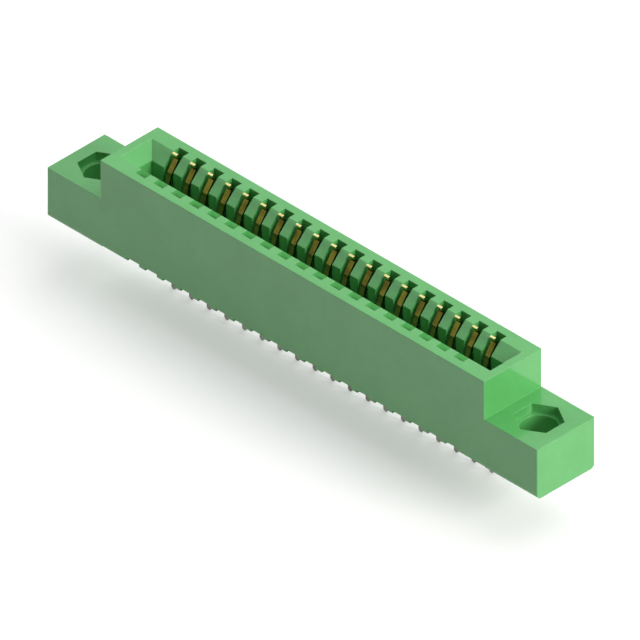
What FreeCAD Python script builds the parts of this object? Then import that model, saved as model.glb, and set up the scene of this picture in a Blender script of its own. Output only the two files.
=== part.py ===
import FreeCAD, Part
import math
import os
import Sketcher
from FreeCAD import Vector

# Card edge connector, single row, for a printed circuit board with edge fingers on 2.54 mm
# centres.  One moulded insulator stands on the mother board, and nineteen formed spring
# contacts are pushed into it from below.
#
# Frame: X runs along the card slot, Y across it, Z up out of the mouth of the slot.  The
# origin is the middle of the seating plane, on the line between the two mounting holes.

doc = FreeCAD.newDocument("card_edge_connector")


# Sizes
sheet = doc.addObject("Spreadsheet::Sheet", "sizes")
sizes = [
    # contact positions
    ("contact_count", 19),
    ("pitch", 2.54),
    # card slot and its funnel mouth
    ("slot_margin", 2.415),
    ("card_slot_width", 1.84),
    ("card_slot_depth", 7.6),
    ("lead_in_run", 1.38),
    ("lead_in_depth", 1.38),
    # insulator, outside
    ("end_wall", 2.35),
    ("body_width", 8.29),
    ("body_height", 10.93),
    ("lug_length", 7.625),
    ("lug_height", 6.22),
    ("standoff", 0.4),
    ("corner_radius", 0.1),
    ("lower_edge_radius", 0.6),
    # contact cavities, one on each side of the slot at every position
    ("cavity_width", 1.4),
    ("cavity_reach", 3.17),
    ("cavity_floor", 2.7),
    # drain grooves that cross the underside
    ("groove_width", 1.65),
    ("groove_depth", 0.35),
    # mounting
    ("hole_inset", 3.875),
    ("hole_diameter", 4.06),
    ("nut_flats", 4.7),
    ("nut_pocket_depth", 1.05),
    # spring contact, formed from strip
    ("strip_width", 0.64),
    ("strip_thickness", 0.25),
    ("tail_offset", 1.78),
    ("tail_length", 5.65),
    ("tail_taper", 0.2),
    ("shoulder_width", 1.1),
    ("shoulder_height", 1.0),
    ("root_rise", 0.3),
    ("crown_reach", 0.56),
    ("crown_radius", 0.8),
    ("beam_lean", 0.78),
    ("beam_rise", 2.36),
    ("heel_lean", 1.03),
    ("heel_rise", 1.42),
    ("nose_return", 0.29),
    ("nose_rise", 0.37),
    ("tip_rise", 0.32),
    ("tip_stand", 0.24),
    ("tip_rounding", 0.16),
    ("bend_radius", 0.5),
    ("tip_bend_radius", 0.2),
    ("fit_clearance", 0.04),
]
for row, (alias, value) in enumerate(sizes, start=1):
    sheet.set("A%d" % row, alias)
    sheet.set("B%d" % row, str(value))
    sheet.setAlias("B%d" % row, alias)
doc.recompute()


def value_of(expression):
    """Give the number that an expression of the sheet stands for."""
    return float(sheet.evalExpression(expression))


def origin_plane(body, role):
    """Find one of the body's own origin planes."""
    for feature in body.Origin.OriginFeatures:
        if feature.Role == role:
            return feature
    raise RuntimeError("no plane " + role)


def new_sketch(body, name, role, height=None):
    """Attach a sketch to an origin plane, raised along its normal where a height is given."""
    sketch = body.newObject("Sketcher::SketchObject", name)
    sketch.AttachmentSupport = [(origin_plane(body, role), "")]
    sketch.MapMode = "FlatFace"
    if height is not None:
        sketch.setExpression(".AttachmentOffset.Base.z", height)
    return sketch


def fix_point(sketch, geometry, vertex, across, up, name):
    """Place one vertex by its two distances from the sketch's origin."""
    for kind, expression in (("DistanceX", across), ("DistanceY", up)):
        label = name + "_" + kind[-1].lower()
        index = sketch.addConstraint(
            Sketcher.Constraint(kind, -1, 1, geometry, vertex, value_of(expression)))
        sketch.renameConstraint(index, label)
        sketch.setExpression("Constraints." + label, expression)


def polygon(sketch, corners):
    """Draw a closed outline through corners given as pairs of expressions."""
    points = [Vector(value_of(across), value_of(up), 0) for across, up in corners]
    first = sketch.GeometryCount
    count = len(points)
    for i in range(count):
        sketch.addGeometry(Part.LineSegment(points[i], points[(i + 1) % count]), False)
    for i in range(count):
        sketch.addConstraint(
            Sketcher.Constraint("Coincident", first + i, 2, first + (i + 1) % count, 1))
    for i, (across, up) in enumerate(corners):
        fix_point(sketch, first + i, 1, across, up, "corner_%d" % (first + i))


def rectangle(sketch, left, right, bottom, top):
    """Draw a rectangle between four expressions."""
    polygon(sketch, [(left, bottom), (right, bottom), (right, top), (left, top)])


def pad(body, sketch, name, length, midplane=False):
    """Pad a sketch."""
    feature = body.newObject("PartDesign::Pad", name)
    feature.Profile = sketch
    feature.setExpression("Length", length)
    feature.Midplane = midplane
    doc.recompute()
    return feature


def pocket(body, sketch, name, length, upward=False):
    """Cut a sketch, down from it or up into the part, and make sure that it cuts."""
    before = body.Shape.Volume
    feature = body.newObject("PartDesign::Pocket", name)
    feature.Profile = sketch
    feature.setExpression("Length", length)
    feature.Reversed = upward
    doc.recompute()
    if not body.Shape.Volume < before - 1e-6:
        raise RuntimeError(name + " cuts nothing")
    return feature


def row_pattern(body, sketch, feature, name):
    """Repeat a cut from the first contact position to the last."""
    pattern = body.newObject("PartDesign::LinearPattern", name)
    pattern.Originals = [feature]
    pattern.Direction = (sketch, ["H_Axis"])
    pattern.setExpression("Length", row_length)
    pattern.setExpression("Occurrences", "sizes.contact_count")
    body.Tip = pattern
    doc.recompute()
    return pattern


row_length = "sizes.pitch * (sizes.contact_count - 1)"
first_contact = "(-%s / 2)" % row_length
slot_end = "(%s / 2 + sizes.slot_margin)" % row_length
body_end = "(%s + sizes.end_wall)" % slot_end
lug_end = "(%s + sizes.lug_length)" % body_end
hole_centre = "(%s - sizes.hole_inset)" % lug_end


# Insulator
# One moulding in glass-filled thermoplastic: a deep body that holds the slot, with a low lug
# at each end for the mounting screw.  The lugs reach lower and keep the body off the board.
insulator = doc.addObject("PartDesign::Body", "insulator")
insulator.Label = "insulator"

outline = new_sketch(insulator, "front_outline", "XZ_Plane")
polygon(outline, [
    ("-" + lug_end, "0"),
    ("-" + body_end, "0"),
    ("-" + body_end, "sizes.standoff"),
    (body_end, "sizes.standoff"),
    (body_end, "0"),
    (lug_end, "0"),
    (lug_end, "sizes.lug_height"),
    (body_end, "sizes.lug_height"),
    (body_end, "sizes.body_height"),
    ("-" + body_end, "sizes.body_height"),
    ("-" + body_end, "sizes.lug_height"),
    ("-" + lug_end, "sizes.lug_height"),
])
pad(insulator, outline, "body_and_lugs", "sizes.body_width", midplane=True)

upright = []
for number, edge in enumerate(insulator.Shape.Edges, start=1):
    box = edge.BoundBox
    if box.XLength < 1e-6 and box.YLength < 1e-6 and box.ZLength > 1e-6:
        upright.append("Edge%d" % number)
corners = insulator.newObject("PartDesign::Fillet", "upright_corners")
corners.Base = (insulator.getObject("body_and_lugs"), upright)
corners.setExpression("Radius", "sizes.corner_radius")
doc.recompute()

# The two long lower edges are rounded from end to end.
lower_edge_view = new_sketch(insulator, "lower_edge_view", "YZ_Plane")
radius = value_of("sizes.lower_edge_radius")
for side, sign in ((-1, "-"), (1, "")):
    corner = Vector(side * value_of("sizes.body_width / 2"), 0, 0)
    inward = Vector(-side * radius, 0, 0)
    upward = Vector(0, radius, 0)
    flat = lower_edge_view.addGeometry(Part.LineSegment(corner, corner + inward), False)
    wall = lower_edge_view.addGeometry(Part.LineSegment(corner + upward, corner), False)
    ring = Part.Circle(corner + inward + upward, Vector(0, 0, 1), radius)
    turn = (math.pi, 1.5 * math.pi) if side < 0 else (1.5 * math.pi, 2 * math.pi)
    arc = lower_edge_view.addGeometry(Part.ArcOfCircle(ring, *turn), False)
    at_wall = 1 if side < 0 else 2
    for constraint in (
            Sketcher.Constraint("Horizontal", flat),
            Sketcher.Constraint("Vertical", wall),
            Sketcher.Constraint("Coincident", wall, 2, flat, 1),
            Sketcher.Constraint("Tangent", flat, 2, arc, 3 - at_wall),
            Sketcher.Constraint("Tangent", wall, 1, arc, at_wall)):
        lower_edge_view.addConstraint(constraint)
    fix_point(lower_edge_view, flat, 1, sign + "sizes.body_width / 2", "0", "edge_%d" % flat)
    index = lower_edge_view.addConstraint(Sketcher.Constraint("Radius", arc, radius))
    lower_edge_view.setExpression("Constraints[%d]" % index, "sizes.lower_edge_radius")
lower_edges = insulator.newObject("PartDesign::Pocket", "rounded_lower_edges")
lower_edges.Profile = lower_edge_view
lower_edges.Type = "ThroughAll"
lower_edges.Midplane = True
doc.recompute()

# The slot stops the card on a plain floor.  Its mouth flares on all four sides, so that the
# card finds its own way in, and the flare is mitred where the sides meet.
slot_plan = new_sketch(insulator, "card_slot_plan", "XY_Plane", "sizes.body_height")
rectangle(slot_plan,
          "-" + slot_end, slot_end,
          "-sizes.card_slot_width / 2", "sizes.card_slot_width / 2")
card_slot = pocket(insulator, slot_plan, "card_slot", "sizes.card_slot_depth")

mouth = new_sketch(insulator, "mouth_plan", "XY_Plane", "sizes.body_height")
rectangle(mouth,
          "-%s - sizes.lead_in_run" % slot_end, slot_end + " + sizes.lead_in_run",
          "-sizes.card_slot_width / 2 - sizes.lead_in_run",
          "sizes.card_slot_width / 2 + sizes.lead_in_run")
throat = new_sketch(insulator, "throat_plan", "XY_Plane",
                    "sizes.body_height - sizes.lead_in_depth")
rectangle(throat,
          "-" + slot_end, slot_end,
          "-sizes.card_slot_width / 2", "sizes.card_slot_width / 2")
flare = insulator.newObject("PartDesign::SubtractiveLoft", "flared_mouth")
flare.Profile = mouth
flare.Sections = [throat]
flare.Ruled = True
doc.recompute()

# At every position a cavity opens the slot into both walls.  It cuts through the flare and
# the top, which lets the spring swing back when a card goes in.
cavity_plan = new_sketch(insulator, "cavity_plan", "XY_Plane", "sizes.body_height")
rectangle(cavity_plan,
          first_contact + " - sizes.cavity_width / 2", first_contact + " + sizes.cavity_width / 2",
          "-sizes.cavity_reach", "sizes.cavity_reach")
cavity = pocket(insulator, cavity_plan, "first_cavity", "sizes.body_height - sizes.cavity_floor")
row_pattern(insulator, cavity_plan, cavity, "cavity_row")

# Grooves cross the underside below the contacts and leave ribs between them, so that
# flux can be washed out from under the part.
groove_plan = new_sketch(insulator, "groove_plan", "XY_Plane", "sizes.standoff")
rectangle(groove_plan,
          first_contact + " - sizes.groove_width / 2", first_contact + " + sizes.groove_width / 2",
          "-sizes.body_width / 2", "sizes.body_width / 2")
groove = pocket(insulator, groove_plan, "first_groove", "sizes.groove_depth", upward=True)
row_pattern(insulator, groove_plan, groove, "groove_row")

# A contact's tail passes through a slit in the floor.  Below, the slit is wider and takes the
# shoulders of the contact, which stop against the step.
slit_plan = new_sketch(insulator, "slit_plan", "XY_Plane")
rectangle(slit_plan,
          first_contact + " - sizes.strip_width / 2 - sizes.fit_clearance",
          first_contact + " + sizes.strip_width / 2 + sizes.fit_clearance",
          "sizes.tail_offset - sizes.strip_thickness / 2 - sizes.fit_clearance",
          "sizes.tail_offset + sizes.strip_thickness / 2 + sizes.fit_clearance")
slit = pocket(insulator, slit_plan, "first_slit", "sizes.cavity_floor + sizes.fit_clearance",
              upward=True)
row_pattern(insulator, slit_plan, slit, "slit_row")

seat_plan = new_sketch(insulator, "shoulder_seat_plan", "XY_Plane", "sizes.standoff")
rectangle(seat_plan,
          first_contact + " - sizes.shoulder_width / 2 - sizes.fit_clearance",
          first_contact + " + sizes.shoulder_width / 2 + sizes.fit_clearance",
          "sizes.tail_offset - sizes.strip_thickness / 2 - sizes.fit_clearance",
          "sizes.tail_offset + sizes.strip_thickness / 2 + sizes.fit_clearance")
seat = pocket(insulator, seat_plan, "first_shoulder_seat",
              "sizes.groove_depth + sizes.shoulder_height", upward=True)
row_pattern(insulator, seat_plan, seat, "shoulder_seat_row")

# Each lug has a clearance hole, with a six-sided seat above it that keeps a nut or a threaded
# insert from turning.
nut_plan = new_sketch(insulator, "nut_pocket_plan", "XY_Plane", "sizes.lug_height")
for side in ("-", ""):
    centre = side + hole_centre
    half = "sizes.nut_flats / 2"
    side_length = "sizes.nut_flats / 2 * 0.57735"
    polygon(nut_plan, [
        (centre + " - " + half, "-" + side_length),
        (centre, "-2 * " + side_length),
        (centre + " + " + half, "-" + side_length),
        (centre + " + " + half, side_length),
        (centre, "2 * " + side_length),
        (centre + " - " + half, side_length),
    ])
pocket(insulator, nut_plan, "nut_pockets", "sizes.nut_pocket_depth")

hole_plan = new_sketch(insulator, "mounting_hole_plan", "XY_Plane", "sizes.lug_height")
for side in ("-", ""):
    centre = side + hole_centre
    circle = hole_plan.addGeometry(
        Part.Circle(Vector(value_of(centre), 0, 0), Vector(0, 0, 1),
                    value_of("sizes.hole_diameter / 2")), False)
    fix_point(hole_plan, circle, 3, centre, "0", "hole_%d" % circle)
    index = hole_plan.addConstraint(
        Sketcher.Constraint("Diameter", circle, value_of("sizes.hole_diameter")))
    hole_plan.setExpression("Constraints[%d]" % index, "sizes.hole_diameter")
pocket(insulator, hole_plan, "mounting_holes", "sizes.lug_height")


# Contacts
# Flat spring strip.  The tail goes straight up through the floor, the beam leans into the slot
# as far as the crown, and the free end leans back over the flare and stands up at its tip.
master = doc.addObject("PartDesign::Body", "contact_01")
master.Label = "contact_01"


def bent_strip(sketch, corners, radii, thickness):
    """Draw the edge view of a strip that follows a line through corners, rounded at each."""
    points = [Vector(value_of(across), value_of(up), 0) for across, up in corners]
    starts = [points[0]]
    ends = []
    bends = []
    for i in range(1, len(points) - 1):
        back = (points[i - 1] - points[i]).normalize()
        ahead = (points[i + 1] - points[i]).normalize()
        radius = value_of(radii[i - 1])
        half = back.getAngle(ahead) / 2
        centre = points[i] + (back + ahead).normalize() * (radius / math.sin(half))
        ends.append(points[i] + back * (radius / math.tan(half)))
        starts.append(points[i] + ahead * (radius / math.tan(half)))
        left = ahead.cross(back).z > 0
        angles = [math.atan2(p.y - centre.y, p.x - centre.x) for p in (ends[-1], starts[-1])]
        bends.append((centre, radius, angles if left else angles[::-1], 1 if left else -1))
    ends.append(points[-1])

    def run(side):
        """Draw the middle line of the strip, or the face on one side of it."""
        hidden = side == 0
        step = side * value_of(thickness) / 2
        lines = []
        for start, end in zip(starts, ends):
            along = (end - start).normalize()
            shift = Vector(-along.y, along.x, 0) * step
            lines.append(sketch.addGeometry(Part.LineSegment(start + shift, end + shift), hidden))
        arcs = []
        for i, (centre, radius, angles, turn) in enumerate(bends):
            ring = Part.Circle(centre, Vector(0, 0, 1), radius - turn * step)
            arc = sketch.addGeometry(Part.ArcOfCircle(ring, *angles), hidden)
            first = 1 if turn > 0 else 2
            sketch.addConstraint(Sketcher.Constraint("Tangent", lines[i], 2, arc, first))
            sketch.addConstraint(Sketcher.Constraint("Tangent", lines[i + 1], 1, arc, 3 - first))
            size = "%s - %d * %s / 2" % (radii[i], turn * side, thickness)
            index = sketch.addConstraint(Sketcher.Constraint("Radius", arc, value_of(size)))
            sketch.setExpression("Constraints[%d]" % index, size)
            arcs.append(arc)
        return lines, arcs

    middle, middle_arcs = run(0)
    for i, point in enumerate(points[1:-1]):
        corner = sketch.addGeometry(Part.Point(point), True)
        sketch.addConstraint(Sketcher.Constraint("PointOnObject", corner, 1, middle[i]))
        sketch.addConstraint(Sketcher.Constraint("PointOnObject", corner, 1, middle[i + 1]))
        fix_point(sketch, corner, 1, corners[i + 1][0], corners[i + 1][1], "bend_%d" % i)
    fix_point(sketch, middle[0], 1, corners[0][0], corners[0][1], "start")
    fix_point(sketch, middle[-1], 2, corners[-1][0], corners[-1][1], "end")

    faces = []
    for side in (1, -1):
        lines, arcs = run(side)
        faces.append(lines)
        for arc, middle_arc in zip(arcs, middle_arcs):
            sketch.addConstraint(Sketcher.Constraint("Coincident", arc, 3, middle_arc, 3))
        for i in (0, -1):
            sketch.addConstraint(Sketcher.Constraint("Parallel", lines[i], middle[i]))
    for i, vertex in ((0, 1), (-1, 2)):
        sides = [sketch.getPoint(lines[i], vertex) for lines in faces]
        cut_end = sketch.addGeometry(Part.LineSegment(*sides), False)
        for at, lines in enumerate(faces, start=1):
            sketch.addConstraint(
                Sketcher.Constraint("Coincident", cut_end, at, lines[i], vertex))
        sketch.addConstraint(Sketcher.Constraint("PointOnObject", middle[i], vertex, cut_end))
        sketch.addConstraint(Sketcher.Constraint("Perpendicular", cut_end, middle[i]))


crown_offset = "(sizes.card_slot_width / 2 - sizes.crown_reach)"
beam_offset = "(%s + sizes.beam_lean)" % crown_offset
heel_offset = "(%s + sizes.heel_lean)" % beam_offset
nose_offset = "(%s - sizes.nose_return)" % heel_offset
tip_height = "(sizes.body_height + sizes.tip_stand)"
nose_height = "(%s - sizes.tip_rise)" % tip_height
heel_height = "(%s - sizes.nose_rise)" % nose_height
beam_height = "(%s - sizes.heel_rise)" % heel_height
crown_height = "(%s - sizes.beam_rise)" % beam_height

edge_view = new_sketch(master, "edge_view", "YZ_Plane")
bent_strip(edge_view, [
    ("sizes.tail_offset", "-sizes.tail_length"),
    ("sizes.tail_offset", "sizes.cavity_floor + sizes.root_rise"),
    (crown_offset, crown_height),
    (beam_offset, beam_height),
    (heel_offset, heel_height),
    (nose_offset, nose_height),
    (nose_offset, tip_height),
], ["sizes.bend_radius", "sizes.crown_radius", "sizes.bend_radius",
    "sizes.tip_bend_radius", "sizes.tip_bend_radius"], "sizes.strip_thickness")
doc.recompute()
pad(master, edge_view, "formed_strip", "sizes.strip_width", midplane=True)

shoulder_face = new_sketch(master, "shoulder_face", "XZ_Plane", "-sizes.tail_offset")
rectangle(shoulder_face,
          "-sizes.shoulder_width / 2", "sizes.shoulder_width / 2",
          "sizes.standoff + sizes.groove_depth",
          "sizes.standoff + sizes.groove_depth + sizes.shoulder_height")
shoulders = pad(master, shoulder_face, "shoulders", "sizes.strip_thickness", midplane=True)

tip_edges = []
for number, edge in enumerate(master.Shape.Edges, start=1):
    box = edge.BoundBox
    at_tip = box.ZMin > value_of(tip_height) - 1e-6
    if at_tip and box.YLength < 1e-6 and box.YMax < value_of(nose_offset):
        tip_edges.append("Edge%d" % number)
rounding = master.newObject("PartDesign::Fillet", "rounded_tip")
rounding.Base = (shoulders, tip_edges)
rounding.setExpression("Radius", "sizes.tip_rounding")
doc.recompute()

tail_edges = []
for number, edge in enumerate(master.Shape.Edges, start=1):
    box = edge.BoundBox
    if box.ZMax < -value_of("sizes.tail_length") + 1e-6 and box.XLength < 1e-6:
        tail_edges.append("Edge%d" % number)
taper = master.newObject("PartDesign::Chamfer", "tail_point")
taper.Base = (rounding, tail_edges)
taper.setExpression("Size", "sizes.tail_taper")
doc.recompute()

sub_parts = [insulator, master]
for position in range(2, int(value_of("sizes.contact_count")) + 1):
    name = "contact_%02d" % position
    body = doc.addObject("PartDesign::Body", name)
    body.Label = name
    copy = doc.addObject("PartDesign::FeatureBase", name + "_strip")
    copy.BaseFeature = master
    body.Group = [copy]
    body.Tip = copy
    sub_parts.append(body)
for position, body in enumerate(sub_parts[1:]):
    body.setExpression(".Placement.Base.x", first_contact + " + sizes.pitch * %d" % position)
doc.recompute()


# Check every object, then write one file for each piece.
for item in doc.Objects:
    if "Invalid" in item.State or "Error" in item.State:
        raise RuntimeError(item.Name + " failed: " + str(item.State))
for body in sub_parts:
    if body.Shape.isNull() or not body.Shape.isValid():
        raise RuntimeError(body.Label + " has no valid shape")

os.makedirs("parts", exist_ok=True)
for body in sub_parts:
    body.Shape.exportStep("parts/%s.step" % body.Label)
    print(body.Label, len(body.Shape.Solids), round(body.Shape.Volume, 4))
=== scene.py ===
import math

import bpy
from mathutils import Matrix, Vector


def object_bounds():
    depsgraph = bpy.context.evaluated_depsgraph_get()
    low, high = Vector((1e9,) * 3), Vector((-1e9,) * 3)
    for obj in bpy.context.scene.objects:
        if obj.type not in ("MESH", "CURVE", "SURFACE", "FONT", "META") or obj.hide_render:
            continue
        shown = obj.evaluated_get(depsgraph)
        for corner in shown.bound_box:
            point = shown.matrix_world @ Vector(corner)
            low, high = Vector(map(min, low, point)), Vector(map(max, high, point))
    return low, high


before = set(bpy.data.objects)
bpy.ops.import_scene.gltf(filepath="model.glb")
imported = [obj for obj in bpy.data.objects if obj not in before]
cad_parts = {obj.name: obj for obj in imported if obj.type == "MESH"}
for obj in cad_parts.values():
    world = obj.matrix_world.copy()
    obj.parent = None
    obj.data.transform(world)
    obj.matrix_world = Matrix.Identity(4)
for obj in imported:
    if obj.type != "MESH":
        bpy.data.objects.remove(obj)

cad_low, cad_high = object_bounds()
scene = bpy.context.scene
bpy.ops.object.select_all(action="DESELECT")


# The view: isometric, from above at the near right, by a camera in which parallel lines stay
# parallel.  The width and the centre of its frame follow the photograph.
photo_azimuth = math.radians(45.0)
photo_elevation = math.radians(35.264)
view_width = 0.06513
view_centre = Vector((-0.000068, -0.000068, 0.00277))
view_distance = 0.5

towards_camera = Vector((math.cos(photo_elevation) * math.sin(photo_azimuth),
                         -math.cos(photo_elevation) * math.cos(photo_azimuth),
                         math.sin(photo_elevation)))
bpy.ops.object.camera_add(location=view_centre + towards_camera * view_distance)
camera = bpy.context.object
camera.name = "photo_camera"
camera.rotation_euler = towards_camera.to_track_quat("Z", "Y").to_euler()
camera.data.type = "ORTHO"
camera.data.ortho_scale = view_width
camera.data.clip_start = 0.01
camera.data.clip_end = 20.0
scene.camera = camera
scene.view_settings.view_transform = "Standard"


# The table and the studio: a white table that runs out of view carries the connector on the tips
# of its solder tails.  A soft lamp above and behind it, a low lamp off each end and a pale sky
# light it, and the sky is darker on the viewer's side.
def add_node(tree, kind, inputs=None, **settings):
    """Add a shader node with its settings.  Each input is a value, or a socket to link to it."""
    node = tree.nodes.new("ShaderNode" + kind)
    for name, value in settings.items():
        setattr(node, name, value)
    for name, value in (inputs or {}).items():
        if isinstance(value, bpy.types.NodeSocket):
            tree.links.new(value, node.inputs[name])
        else:
            node.inputs[name].default_value = value
    return node


def calculate(tree, operation, *numbers):
    """Give the result of one operation on values or sockets."""
    return add_node(tree, "Math", dict(enumerate(numbers)), operation=operation).outputs[0]


def map_range(tree, value, low=0.0, high=1.0, to_low=0.0, to_high=1.0):
    """Turn a value that runs from low to high into one that runs from to_low to to_high."""
    return add_node(tree, "MapRange", {
        "Value": value, "From Min": low, "From Max": high,
        "To Min": to_low, "To Max": to_high}).outputs[0]


def empty_tree(owner):
    """Give the shader tree of a material or a world, with every node taken out."""
    owner.use_nodes = True
    owner.node_tree.nodes.clear()
    return owner.node_tree


def seen_white(tree):
    """Give 1 for rays that look at the surroundings, straight, in a mirror or through glass."""
    rays = add_node(tree, "LightPath")
    seen = rays.outputs["Is Camera Ray"]
    for name in ("Is Glossy Ray", "Is Transmission Ray"):
        seen = calculate(tree, "MAXIMUM", seen, rays.outputs[name])
    return seen


table_size = 4.0
table_gap = 0.00001
table_white = 0.64
table_lift = 0.40

bpy.ops.mesh.primitive_plane_add(size=table_size, location=(0, 0, cad_low[2] - table_gap))
table = bpy.context.object
table.name = "table"
bpy.ops.object.transform_apply(location=True, rotation=True, scale=True)

# The lift brings the table up to white where it is seen, and lights nothing else.
white_table = bpy.data.materials.new("white_table")
tree = empty_tree(white_table)
cover = add_node(tree, "BsdfDiffuse", {"Color": (table_white, table_white, table_white, 1)})
lift_strength = calculate(tree, "MULTIPLY", seen_white(tree), table_lift)
lift = add_node(tree, "Emission", {"Color": (1, 1, 1, 1), "Strength": lift_strength})
both = add_node(tree, "AddShader", {0: cover.outputs[0], 1: lift.outputs[0]})
add_node(tree, "OutputMaterial", {"Surface": both.outputs[0]})
table.data.materials.append(white_table)

sky_light_near = 0.06
sky_light_far = 0.60

sky = bpy.data.worlds.new("pale_sky")
scene.world = sky
tree = empty_tree(sky)
looking = add_node(tree, "TexCoord").outputs["Generated"]
looking_far = add_node(tree, "SeparateXYZ", {0: looking}).outputs["Y"]
sky_light = map_range(
    tree, looking_far, low=-1.0, high=1.0, to_low=sky_light_near, to_high=sky_light_far)
sky_strength = map_range(tree, seen_white(tree), to_low=sky_light, to_high=1.0)
background = add_node(tree, "Background", {"Color": (1, 1, 1, 1), "Strength": sky_strength})
add_node(tree, "OutputWorld", {"Surface": background.outputs[0]})

lamp_distance = 0.45
for name, direction, length, width, level, colour in (
        ("overhead_lamp", (0.08, 0.36, 0.93), 0.55, 0.34, 0.58, (1.0, 1.0, 1.0)),
        ("left_lamp", (-0.90, 0.00, 0.44), 0.30, 0.20, 0.38, (1.0, 1.0, 1.0)),
        ("right_lamp", (0.91, 0.12, 0.40), 0.20, 0.16, 0.84, (1.0, 0.98, 0.94))):
    towards_lamp = Vector(direction).normalized()
    bpy.ops.object.light_add(type="AREA", location=towards_lamp * lamp_distance)
    lamp = bpy.context.object
    lamp.name = name
    lamp.rotation_euler = towards_lamp.to_track_quat("Z", "Y").to_euler()
    lamp.data.shape = "RECTANGLE"
    lamp.data.size = length
    lamp.data.size_y = width
    lamp.data.color = colour
    # At this power a white face that looks at a small lamp comes out at the lamp's level.
    # A large lamp gives a little less.
    lamp.data.energy = level * (math.pi * lamp_distance) ** 2


# The insulator: one injection moulding in glass-filled thermoplastic, light green all through,
# with a hole in each lug for the screw that holds it.  Its skin has the gloss and the faint
# ripple of the mould, and short glass fibres show in it as pale flecks.
def noise(tree, place, scale, detail, roughness=0.5):
    """Give noise over a place.  The scale is the number of its patches to the metre."""
    return add_node(tree, "TexNoise", {
        "Vector": place, "Scale": scale, "Detail": detail, "Roughness": roughness}).outputs[0]


def new_group(name, numbers, results):
    """Start a shader group.  Give it with the sockets of its numbers and of its results."""
    group = bpy.data.node_groups.new(name, "ShaderNodeTree")
    for label, default in numbers.items():
        socket = group.interface.new_socket(label, in_out="INPUT", socket_type="NodeSocketFloat")
        socket.default_value = default
    for label, kind in results.items():
        group.interface.new_socket(label, in_out="OUTPUT", socket_type="NodeSocket" + kind)
    start = group.nodes.new("NodeGroupInput")
    end = group.nodes.new("NodeGroupOutput")
    return group, start.outputs, end.inputs


# Where two faces meet, the real edge is rounded by a tenth of a millimetre or less.  The group
# gives the rounded normal and a share along the edges, in patches, which goes by the cosine
# between that normal and the flat face's.  The colour mixed in by this share is partly rubbed
# wear and partly a painted highlight on the rounded edge.
wear_and_highlight_start_cosine = 0.985
wear_and_highlight_full_cosine = 0.80

soft_edges, given, result = new_group(
    "soft_edges", {"Radius": 0.00006, "Breakup": 9000.0}, {"Normal": "Vector", "Wear_and_highlight": "Float"})
rounded = add_node(soft_edges, "Bevel", {"Radius": given["Radius"]}, samples=6)
facing = add_node(soft_edges, "NewGeometry").outputs["True Normal"]
alike = add_node(
    soft_edges, "VectorMath", {0: rounded.outputs["Normal"], 1: facing}, operation="DOT_PRODUCT")
turned = map_range(soft_edges, alike.outputs["Value"], wear_and_highlight_start_cosine, wear_and_highlight_full_cosine)
place = add_node(soft_edges, "TexCoord").outputs["Object"]
patchy = noise(soft_edges, place, given["Breakup"], detail=3.0)
patches = map_range(soft_edges, patchy, low=0.40, high=0.62)
# This share paints the edges paler: partly rubbed wear, partly a painted highlight.
wear_and_highlight = calculate(soft_edges, "MULTIPLY", turned, patches)
soft_edges.links.new(rounded.outputs["Normal"], result["Normal"])
soft_edges.links.new(wear_and_highlight, result["Wear_and_highlight"])

# Streaks are noise that is drawn out along the part where Draw is under 1: the glass fibres of
# the moulding are long, and the grain of the rolled strip is not.
streaks, given, result = new_group(
    "streaks", {"Across": 9000.0, "Draw": 0.15, "Low": 0.55, "High": 0.70}, {"Streak": "Float"})
place = add_node(streaks, "TexCoord").outputs["Object"]
drawn = add_node(streaks, "CombineXYZ", {"X": given["Draw"], "Y": 1.0, "Z": 1.0}).outputs[0]
stretched = add_node(streaks, "VectorMath", {0: place, 1: drawn}, operation="MULTIPLY").outputs[0]
grain = noise(streaks, stretched, given["Across"], detail=2.0, roughness=0.6)
streak = map_range(streaks, grain, given["Low"], given["High"])
streaks.links.new(streak, result["Streak"])


def mix_colours(tree, share, first, second):
    """Blend two colours by the share of the second, each a socket or red, green and blue."""
    # A Mix node takes its colours at inputs 6 and 7, and gives their blend at output 2.
    inputs = {0: share}
    for index, colour in ((6, first), (7, second)):
        inputs[index] = colour if isinstance(colour, bpy.types.NodeSocket) else (*colour, 1)
    return add_node(tree, "Mix", inputs, data_type="RGBA").outputs[2]


def bump(tree, height, normal, strength, depth):
    """Give a normal with a relief of the height on it."""
    return add_node(tree, "Bump", {
        "Height": height, "Normal": normal, "Strength": strength, "Distance": depth}).outputs[0]


green = (0.100, 0.405, 0.114)
green_deep = (0.086, 0.375, 0.101)
fibre_green = (0.135, 0.500, 0.165)
fibre_strength = 0.30
# Pale edge green: partly rubbed wear, partly a painted highlight on the rounded edges.
rubbed_and_highlit_green = (0.190, 0.560, 0.220)
rub_and_highlight_strength = 0.22
edge_radius = 0.00010
pit_depth = 0.000012
ripple_depth = 0.00002

green_moulding = bpy.data.materials.new("green_moulding")
tree = empty_tree(green_moulding)
place = add_node(tree, "TexCoord").outputs["Object"]
fibres = add_node(
    tree, "Group", {"Across": 7000.0, "Draw": 0.12, "Low": 0.60, "High": 0.74}, node_tree=streaks)
edges = add_node(tree, "Group", {"Radius": edge_radius, "Breakup": 2600.0}, node_tree=soft_edges)
clouds = noise(tree, place, scale=170.0, detail=4.0, roughness=0.55)
cloud_share = map_range(tree, clouds, low=0.35, high=0.65)
fibre_share = calculate(tree, "MULTIPLY", fibres.outputs["Streak"], fibre_strength)
# The edges are painted paler, partly as rubbed wear and partly as a painted highlight.
rub_and_highlight_share = calculate(tree, "MULTIPLY", edges.outputs["Wear_and_highlight"], rub_and_highlight_strength)
colour = mix_colours(tree, cloud_share, green_deep, green)
colour = mix_colours(tree, fibre_share, colour, fibre_green)
colour = mix_colours(tree, rub_and_highlight_share, colour, rubbed_and_highlit_green)

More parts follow.
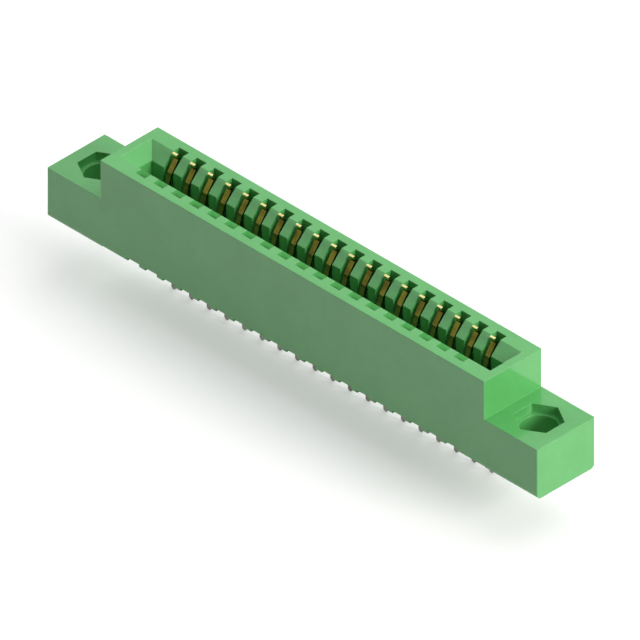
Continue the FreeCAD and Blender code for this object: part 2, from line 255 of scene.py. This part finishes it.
pits = noise(tree, place, scale=14000.0, detail=3.0, roughness=0.65)
ripple = noise(tree, place, scale=420.0, detail=2.0)
pitted = bump(tree, pits, edges.outputs["Normal"], strength=0.06, depth=pit_depth)
rippled = bump(tree, ripple, pitted, strength=0.12, depth=ripple_depth)
dullness = map_range(tree, pits, to_low=0.07, to_high=0.17)
skin = add_node(tree, "BsdfPrincipled", {
    "Base Color": colour, "Roughness": dullness, "IOR": 1.5, "Specular IOR Level": 0.70,
    "Normal": rippled})
add_node(tree, "OutputMaterial", {"Surface": skin.outputs[0]})

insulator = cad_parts["insulator"]
insulator.data.materials.clear()
insulator.data.materials.append(green_moulding)


# The contacts: nineteen springs of rolled copper-alloy strip, stamped, bent, and pressed into
# the floor of the insulator.  Gold shines on the tip, and on the slope below it the gold is
# painted dark olive as painted shade.
# The beam shows bronze, the tail is tinned, dull and painted darker as shade under the body, and
# the sheared sides are darker, partly as cut metal and partly as painted shade.
gold = (0.88, 0.80, 0.38)
gold_deep = (0.78, 0.62, 0.24)
# Dark olive gold for the slope below the tip: painted shade.
gold_in_painted_shade = (0.150, 0.145, 0.020)
gold_in_painted_shade_deep = (0.080, 0.072, 0.012)
bronze = (0.66, 0.36, 0.19)
bronze_deep = (0.48, 0.25, 0.12)
# Tin painted dark: painted shade on the tails under the body.
shaded_tin = (0.30, 0.28, 0.26)
shaded_tin_dull = (0.20, 0.185, 0.17)
tin_dullness = 0.26
# Dark bronze for the sheared sides: cut metal, darkened further as painted shade.
sheared_and_shaded_bronze = (0.20, 0.125, 0.050)
shear_and_shade_strength = 0.55
strip_edge_radius = 0.00006
grain_depth = 0.000004

# Each line is a height over the seat where one colour gives way to the next: tin to bronze,
# bronze to gold in painted shade, and that to the bright gold of the tip.
tin_line = 0.0022
tin_line_waver = 0.0003
tin_line_blur = 0.000075
bronze_line = 0.0090
bronze_line_blur = 0.0003
# Below this line the gold is painted in shade, and above it the tip is bright.
bright_line = 0.01078
bright_line_blur = 0.00008

plated_strip = bpy.data.materials.new("plated_strip")
tree = empty_tree(plated_strip)
place = add_node(tree, "TexCoord").outputs["Object"]
height = add_node(tree, "SeparateXYZ", {0: place}).outputs["Z"]
wavering = noise(tree, place, scale=2500.0, detail=2.0)
tin_top = calculate(tree, "MULTIPLY_ADD", wavering, tin_line_waver, tin_line)
above_tin = map_range(tree, calculate(tree, "SUBTRACT", height, tin_top), high=tin_line_blur)
above_bronze = map_range(
    tree, height, bronze_line - bronze_line_blur, bronze_line + bronze_line_blur)
# Share above the line where the painted shade on the gold ends.
above_painted_shade = map_range(
    tree, height, bright_line - bright_line_blur, bright_line + bright_line_blur)

tarnish = map_range(tree, noise(tree, place, scale=900.0, detail=3.0), low=0.40, high=0.68)
# The tails' tin, darkened as painted shade.
shaded_tinned = mix_colours(tree, tarnish, shaded_tin, shaded_tin_dull)
bare = mix_colours(tree, tarnish, bronze, bronze_deep)
# The gold in painted shade, dark olive.
gold_shade_colour = mix_colours(tree, tarnish, gold_in_painted_shade, gold_in_painted_shade_deep)
bright = mix_colours(tree, tarnish, gold, gold_deep)
colour = mix_colours(tree, above_bronze, bare, gold_shade_colour)
colour = mix_colours(tree, above_painted_shade, colour, bright)
colour = mix_colours(tree, above_tin, shaded_tinned, colour)

facing = add_node(tree, "NewGeometry").outputs["True Normal"]
facing_along = add_node(tree, "SeparateXYZ", {0: facing}).outputs["X"]
endways = calculate(tree, "ABSOLUTE", facing_along)
# Sides facing along the row are painted darker, partly as cut metal and partly as painted shade.
sheared_and_shaded = map_range(tree, endways, low=0.90, high=0.99, to_high=shear_and_shade_strength)
colour = mix_colours(tree, sheared_and_shaded, colour, sheared_and_shaded_bronze)

grain = add_node(
    tree, "Group", {"Across": 16000.0, "Draw": 1.0, "Low": 0.35, "High": 0.70}, node_tree=streaks)
edges = add_node(
    tree, "Group", {"Radius": strip_edge_radius, "Breakup": 9000.0}, node_tree=soft_edges)
shine = map_range(tree, grain.outputs["Streak"], to_low=0.12, to_high=0.24)
dullness = calculate(tree, "MULTIPLY_ADD", above_tin, -tin_dullness, tin_dullness)
grained = bump(
    tree, grain.outputs["Streak"], edges.outputs["Normal"], strength=0.25, depth=grain_depth)
plating = add_node(tree, "BsdfPrincipled", {
    "Base Color": colour, "Metallic": 1.0, "Roughness": calculate(tree, "ADD", shine, dullness),
    "Normal": grained})
add_node(tree, "OutputMaterial", {"Surface": plating.outputs[0]})

for name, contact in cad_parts.items():
    if name.startswith("contact_"):
        contact.data.materials.clear()
        contact.data.materials.append(plated_strip)
